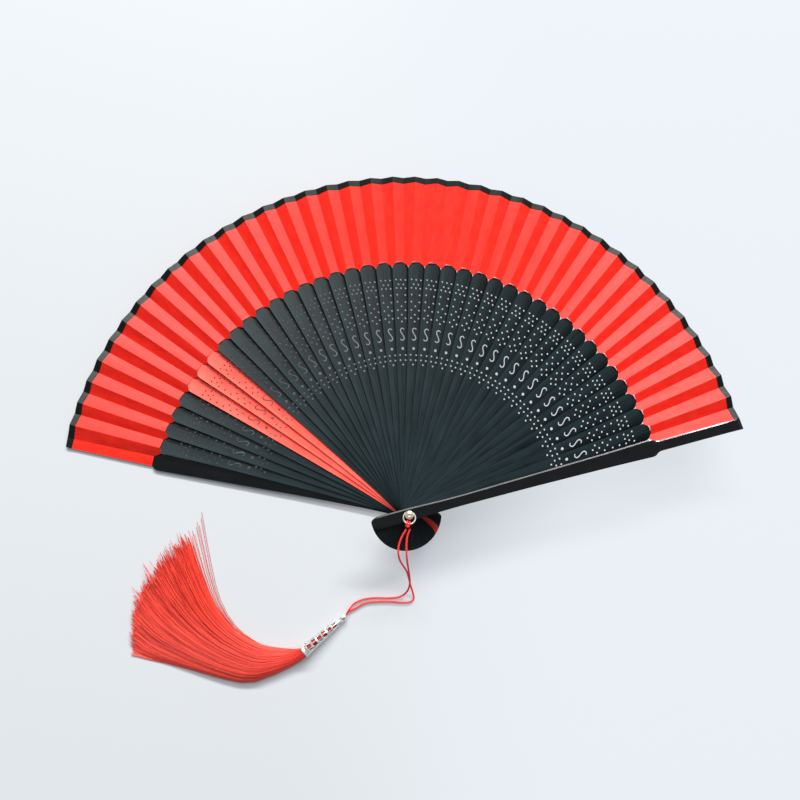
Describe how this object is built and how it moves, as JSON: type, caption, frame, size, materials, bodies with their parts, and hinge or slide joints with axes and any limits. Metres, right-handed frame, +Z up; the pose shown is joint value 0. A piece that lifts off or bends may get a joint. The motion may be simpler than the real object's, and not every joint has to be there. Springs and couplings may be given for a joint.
{
  "type": "folding fan",
  "caption": "Open folding fan with pierced dyed ribs, lacquered guards, a pleated silk leaf and a corded tassel with a metal cap.",
  "frame": {"origin": "rivet axis at the back guard's outer face, on which the open fan lies", "axes": "+Z up along the rivet, from the back guard to the front guard; +Y out along the middle of the opened fan; +X to the front guard's side"},
  "size_m": [0.3741, 0.28, 0.0287],
  "materials": {
    "lacquer": "gloss black lacquer",
    "black_wood": "satin, dyed black",
    "red_wood": "satin, dyed red",
    "silk": "fine plain weave silk",
    "edging": "matt woven edging",
    "rivet_metal": "polished pale gold",
    "wire": "plain wire",
    "silver": "silver filigree",
    "cord": "twisted cord",
    "thread": "loose silky threads"
  },
  "bodies": {
    "back_guard": {"back_guard": "lacquer", "rivet": "rivet_metal", "silk_leaf": "silk", "leaf_edging": "edging"},
    "rib_01": {"rib_01_black": "black_wood"},
    "rib_02": {"rib_02_black": "black_wood"},
    "rib_03": {"rib_03_black": "black_wood"},
    "rib_04": {"rib_04_black": "black_wood"},
    "rib_05": {"rib_05_red": "red_wood"},
    "rib_06": {"rib_06_red": "red_wood"},
    "rib_07": {"rib_07_red": "red_wood"},
    "rib_08": {"rib_08_black": "black_wood"},
    "rib_09": {"rib_09_black": "black_wood"},
    "rib_10": {"rib_10_black": "black_wood"},
    "rib_11": {"rib_11_black": "black_wood"},
    "rib_12": {"rib_12_black": "black_wood"},
    "rib_13": {"rib_13_black": "black_wood"},
    "rib_14": {"rib_14_black": "black_wood"},
    "rib_15": {"rib_15_black": "black_wood"},
    "rib_16": {"rib_16_black": "black_wood"},
    "rib_17": {"rib_17_black": "black_wood"},
    "rib_18": {"rib_18_black": "black_wood"},
    "rib_19": {"rib_19_black": "black_wood"},
    "rib_20": {"rib_20_black": "black_wood"},
    "rib_21": {"rib_21_black": "black_wood"},
    "rib_22": {"rib_22_black": "black_wood"},
    "rib_23": {"rib_23_black": "black_wood"},
    "rib_24": {"rib_24_black": "black_wood"},
    "rib_25": {"rib_25_black": "black_wood"},
    "rib_26": {"rib_26_black": "black_wood"},
    "rib_27": {"rib_27_black": "black_wood"},
    "rib_28": {"rib_28_black": "black_wood"},
    "rib_29": {"rib_29_black": "black_wood"},
    "rib_30": {"rib_30_black": "black_wood"},
    "rib_31": {"rib_31_black": "black_wood"},
    "rib_32": {"rib_32_black": "black_wood"},
    "rib_33": {"rib_33_black": "black_wood"},
    "rib_34": {"rib_34_black": "black_wood"},
    "rib_35": {"rib_35_black": "black_wood"},
    "rib_36": {"rib_36_black": "black_wood"},
    "rib_37": {"rib_37_black": "black_wood"},
    "rib_38": {"rib_38_black": "black_wood"},
    "rib_39": {"rib_39_black": "black_wood"},
    "front_guard": {"front_guard": "lacquer"},
    "tassel": {"tassel_ring": "wire", "cord_hitch": "cord", "cord_left": "cord", "cord_right": "cord", "tassel_cap": "silver", "tassel_core": "thread", "tassel_skirt": "thread"}
  },
  "joints": [
    {"name": "fan_fold", "type": "hinge", "parent": "back_guard", "child": "front_guard", "pos_m": [0, 0, 0], "axis": [0, 0, 1], "range_deg": [0, 153.8], "deforming": ["silk_leaf", "leaf_edging"]},
    {"name": "rib_01_fold", "type": "hinge", "parent": "back_guard", "child": "rib_01", "pos_m": [0, 0, 0], "axis": [0, 0, 1], "range_deg": [0, 4.14]},
    {"name": "rib_02_fold", "type": "hinge", "parent": "back_guard", "child": "rib_02", "pos_m": [0, 0, 0], "axis": [0, 0, 1], "range_deg": [0, 7.98]},
    {"name": "rib_03_fold", "type": "hinge", "parent": "back_guard", "child": "rib_03", "pos_m": [0, 0, 0], "axis": [0, 0, 1], "range_deg": [0, 11.81]},
    {"name": "rib_04_fold", "type": "hinge", "parent": "back_guard", "child": "rib_04", "pos_m": [0, 0, 0], "axis": [0, 0, 1], "range_deg": [0, 15.65]},
    {"name": "rib_05_fold", "type": "hinge", "parent": "back_guard", "child": "rib_05", "pos_m": [0, 0, 0], "axis": [0, 0, 1], "range_deg": [0, 19.49]},
    {"name": "rib_06_fold", "type": "hinge", "parent": "back_guard", "child": "rib_06", "pos_m": [0, 0, 0], "axis": [0, 0, 1], "range_deg": [0, 23.33]},
    {"name": "rib_07_fold", "type": "hinge", "parent": "back_guard", "child": "rib_07", "pos_m": [0, 0, 0], "axis": [0, 0, 1], "range_deg": [0, 27.16]},
    {"name": "rib_08_fold", "type": "hinge", "parent": "back_guard", "child": "rib_08", "pos_m": [0, 0, 0], "axis": [0, 0, 1], "range_deg": [0, 31]},
    {"name": "rib_09_fold", "type": "hinge", "parent": "back_guard", "child": "rib_09", "pos_m": [0, 0, 0], "axis": [0, 0, 1], "range_deg": [0, 34.84]},
    {"name": "rib_10_fold", "type": "hinge", "parent": "back_guard", "child": "rib_10", "pos_m": [0, 0, 0], "axis": [0, 0, 1], "range_deg": [0, 38.68]},
    {"name": "rib_11_fold", "type": "hinge", "parent": "back_guard", "child": "rib_11", "pos_m": [0, 0, 0], "axis": [0, 0, 1], "range_deg": [0, 42.51]},
    {"name": "rib_12_fold", "type": "hinge", "parent": "back_guard", "child": "rib_12", "pos_m": [0, 0, 0], "axis": [0, 0, 1], "range_deg": [0, 46.35]},
    {"name": "rib_13_fold", "type": "hinge", "parent": "back_guard", "child": "rib_13", "pos_m": [0, 0, 0], "axis": [0, 0, 1], "range_deg": [0, 50.19]},
    {"name": "rib_14_fold", "type": "hinge", "parent": "back_guard", "child": "rib_14", "pos_m": [0, 0, 0], "axis": [0, 0, 1], "range_deg": [0, 54.03]},
    {"name": "rib_15_fold", "type": "hinge", "parent": "back_guard", "child": "rib_15", "pos_m": [0, 0, 0], "axis": [0, 0, 1], "range_deg": [0, 57.86]},
    {"name": "rib_16_fold", "type": "hinge", "parent": "back_guard", "child": "rib_16", "pos_m": [0, 0, 0], "axis": [0, 0, 1], "range_deg": [0, 61.7]},
    {"name": "rib_17_fold", "type": "hinge", "parent": "back_guard", "child": "rib_17", "pos_m": [0, 0, 0], "axis": [0, 0, 1], "range_deg": [0, 65.54]},
    {"name": "rib_18_fold", "type": "hinge", "parent": "back_guard", "child": "rib_18", "pos_m": [0, 0, 0], "axis": [0, 0, 1], "range_deg": [0, 69.38]},
    {"name": "rib_19_fold", "type": "hinge", "parent": "back_guard", "child": "rib_19", "pos_m": [0, 0, 0], "axis": [0, 0, 1], "range_deg": [0, 73.21]},
    {"name": "rib_20_fold", "type": "hinge", "parent": "back_guard", "child": "rib_20", "pos_m": [0, 0, 0], "axis": [0, 0, 1], "range_deg": [0, 77.05]},
    {"name": "rib_21_fold", "type": "hinge", "parent": "back_guard", "child": "rib_21", "pos_m": [0, 0, 0], "axis": [0, 0, 1], "range_deg": [0, 80.89]},
    {"name": "rib_22_fold", "type": "hinge", "parent": "back_guard", "child": "rib_22", "pos_m": [0, 0, 0], "axis": [0, 0, 1], "range_deg": [0, 84.73]},
    {"name": "rib_23_fold", "type": "hinge", "parent": "back_guard", "child": "rib_23", "pos_m": [0, 0, 0], "axis": [0, 0, 1], "range_deg": [0, 88.56]},
    {"name": "rib_24_fold", "type": "hinge", "parent": "back_guard", "child": "rib_24", "pos_m": [0, 0, 0], "axis": [0, 0, 1], "range_deg": [0, 92.4]},
    {"name": "rib_25_fold", "type": "hinge", "parent": "back_guard", "child": "rib_25", "pos_m": [0, 0, 0], "axis": [0, 0, 1], "range_deg": [0, 96.24]},
    {"name": "rib_26_fold", "type": "hinge", "parent": "back_guard", "child": "rib_26", "pos_m": [0, 0, 0], "axis": [0, 0, 1], "range_deg": [0, 100.08]},
    {"name": "rib_27_fold", "type": "hinge", "parent": "back_guard", "child": "rib_27", "pos_m": [0, 0, 0], "axis": [0, 0, 1], "range_deg": [0, 103.91]},
    {"name": "rib_28_fold", "type": "hinge", "parent": "back_guard", "child": "rib_28", "pos_m": [0, 0, 0], "axis": [0, 0, 1], "range_deg": [0, 107.75]},
    {"name": "rib_29_fold", "type": "hinge", "parent": "back_guard", "child": "rib_29", "pos_m": [0, 0, 0], "axis": [0, 0, 1], "range_deg": [0, 111.59]},
    {"name": "rib_30_fold", "type": "hinge", "parent": "back_guard", "child": "rib_30", "pos_m": [0, 0, 0], "axis": [0, 0, 1], "range_deg": [0, 115.43]},
    {"name": "rib_31_fold", "type": "hinge", "parent": "back_guard", "child": "rib_31", "pos_m": [0, 0, 0], "axis": [0, 0, 1], "range_deg": [0, 119.26]},
    {"name": "rib_32_fold", "type": "hinge", "parent": "back_guard", "child": "rib_32", "pos_m": [0, 0, 0], "axis": [0, 0, 1], "range_deg": [0, 123.1]},
    {"name": "rib_33_fold", "type": "hinge", "parent": "back_guard", "child": "rib_33", "pos_m": [0, 0, 0], "axis": [0, 0, 1], "range_deg": [0, 126.94]},
    {"name": "rib_34_fold", "type": "hinge", "parent": "back_guard", "child": "rib_34", "pos_m": [0, 0, 0], "axis": [0, 0, 1], "range_deg": [0, 130.78]},
    {"name": "rib_35_fold", "type": "hinge", "parent": "back_guard", "child": "rib_35", "pos_m": [0, 0, 0], "axis": [0, 0, 1], "range_deg": [0, 134.61]},
    {"name": "rib_36_fold", "type": "hinge", "parent": "back_guard", "child": "rib_36", "pos_m": [0, 0, 0], "axis": [0, 0, 1], "range_deg": [0, 138.45]},
    {"name": "rib_37_fold", "type": "hinge", "parent": "back_guard", "child": "rib_37", "pos_m": [0, 0, 0], "axis": [0, 0, 1], "range_deg": [0, 142.29]},
    {"name": "rib_38_fold", "type": "hinge", "parent": "back_guard", "child": "rib_38", "pos_m": [0, 0, 0], "axis": [0, 0, 1], "range_deg": [0, 146.13]},
    {"name": "rib_39_fold", "type": "hinge", "parent": "back_guard", "child": "rib_39", "pos_m": [0, 0, 0], "axis": [0, 0, 1], "range_deg": [0, 149.96]},
    {"name": "tassel_swing", "type": "hinge", "parent": "back_guard", "child": "tassel", "pos_m": [0, 0, 0], "axis": [0, 0, 1], "range_deg": [-10, 60]}
  ],
  "couplings": [
    {"joint": "rib_01_fold", "follows": "fan_fold", "ratio": 0.026902},
    {"joint": "rib_02_fold", "follows": "fan_fold", "ratio": 0.051853},
    {"joint": "rib_03_fold", "follows": "fan_fold", "ratio": 0.076804},
    {"joint": "rib_04_fold", "follows": "fan_fold", "ratio": 0.10176},
    {"joint": "rib_05_fold", "follows": "fan_fold", "ratio": 0.12671},
    {"joint": "rib_06_fold", "follows": "fan_fold", "ratio": 0.15166},
    {"joint": "rib_07_fold", "follows": "fan_fold", "ratio": 0.17661},
    {"joint": "rib_08_fold", "follows": "fan_fold", "ratio": 0.20156},
    {"joint": "rib_09_fold", "follows": "fan_fold", "ratio": 0.22651},
    {"joint": "rib_10_fold", "follows": "fan_fold", "ratio": 0.25146},
    {"joint": "rib_11_fold", "follows": "fan_fold", "ratio": 0.27641},
    {"joint": "rib_12_fold", "follows": "fan_fold", "ratio": 0.30137},
    {"joint": "rib_13_fold", "follows": "fan_fold", "ratio": 0.32632},
    {"joint": "rib_14_fold", "follows": "fan_fold", "ratio": 0.35127},
    {"joint": "rib_15_fold", "follows": "fan_fold", "ratio": 0.37622},
    {"joint": "rib_16_fold", "follows": "fan_fold", "ratio": 0.40117},
    {"joint": "rib_17_fold", "follows": "fan_fold", "ratio": 0.42612},
    {"joint": "rib_18_fold", "follows": "fan_fold", "ratio": 0.45107},
    {"joint": "rib_19_fold", "follows": "fan_fold", "ratio": 0.47602},
    {"joint": "rib_20_fold", "follows": "fan_fold", "ratio": 0.50098},
    {"joint": "rib_21_fold", "follows": "fan_fold", "ratio": 0.52593},
    {"joint": "rib_22_fold", "follows": "fan_fold", "ratio": 0.55088},
    {"joint": "rib_23_fold", "follows": "fan_fold", "ratio": 0.57583},
    {"joint": "rib_24_fold", "follows": "fan_fold", "ratio": 0.60078},
    {"joint": "rib_25_fold", "follows": "fan_fold", "ratio": 0.62573},
    {"joint": "rib_26_fold", "follows": "fan_fold", "ratio": 0.65068},
    {"joint": "rib_27_fold", "follows": "fan_fold", "ratio": 0.67563},
    {"joint": "rib_28_fold", "follows": "fan_fold", "ratio": 0.70059},
    {"joint": "rib_29_fold", "follows": "fan_fold", "ratio": 0.72554},
    {"joint": "rib_30_fold", "follows": "fan_fold", "ratio": 0.75049},
    {"joint": "rib_31_fold", "follows": "fan_fold", "ratio": 0.77544},
    {"joint": "rib_32_fold", "follows": "fan_fold", "ratio": 0.80039},
    {"joint": "rib_33_fold", "follows": "fan_fold", "ratio": 0.82534},
    {"joint": "rib_34_fold", "follows": "fan_fold", "ratio": 0.85029},
    {"joint": "rib_35_fold", "follows": "fan_fold", "ratio": 0.87524},
    {"joint": "rib_36_fold", "follows": "fan_fold", "ratio": 0.9002},
    {"joint": "rib_37_fold", "follows": "fan_fold", "ratio": 0.92515},
    {"joint": "rib_38_fold", "follows": "fan_fold", "ratio": 0.9501},
    {"joint": "rib_39_fold", "follows": "fan_fold", "ratio": 0.97505}
  ]
}
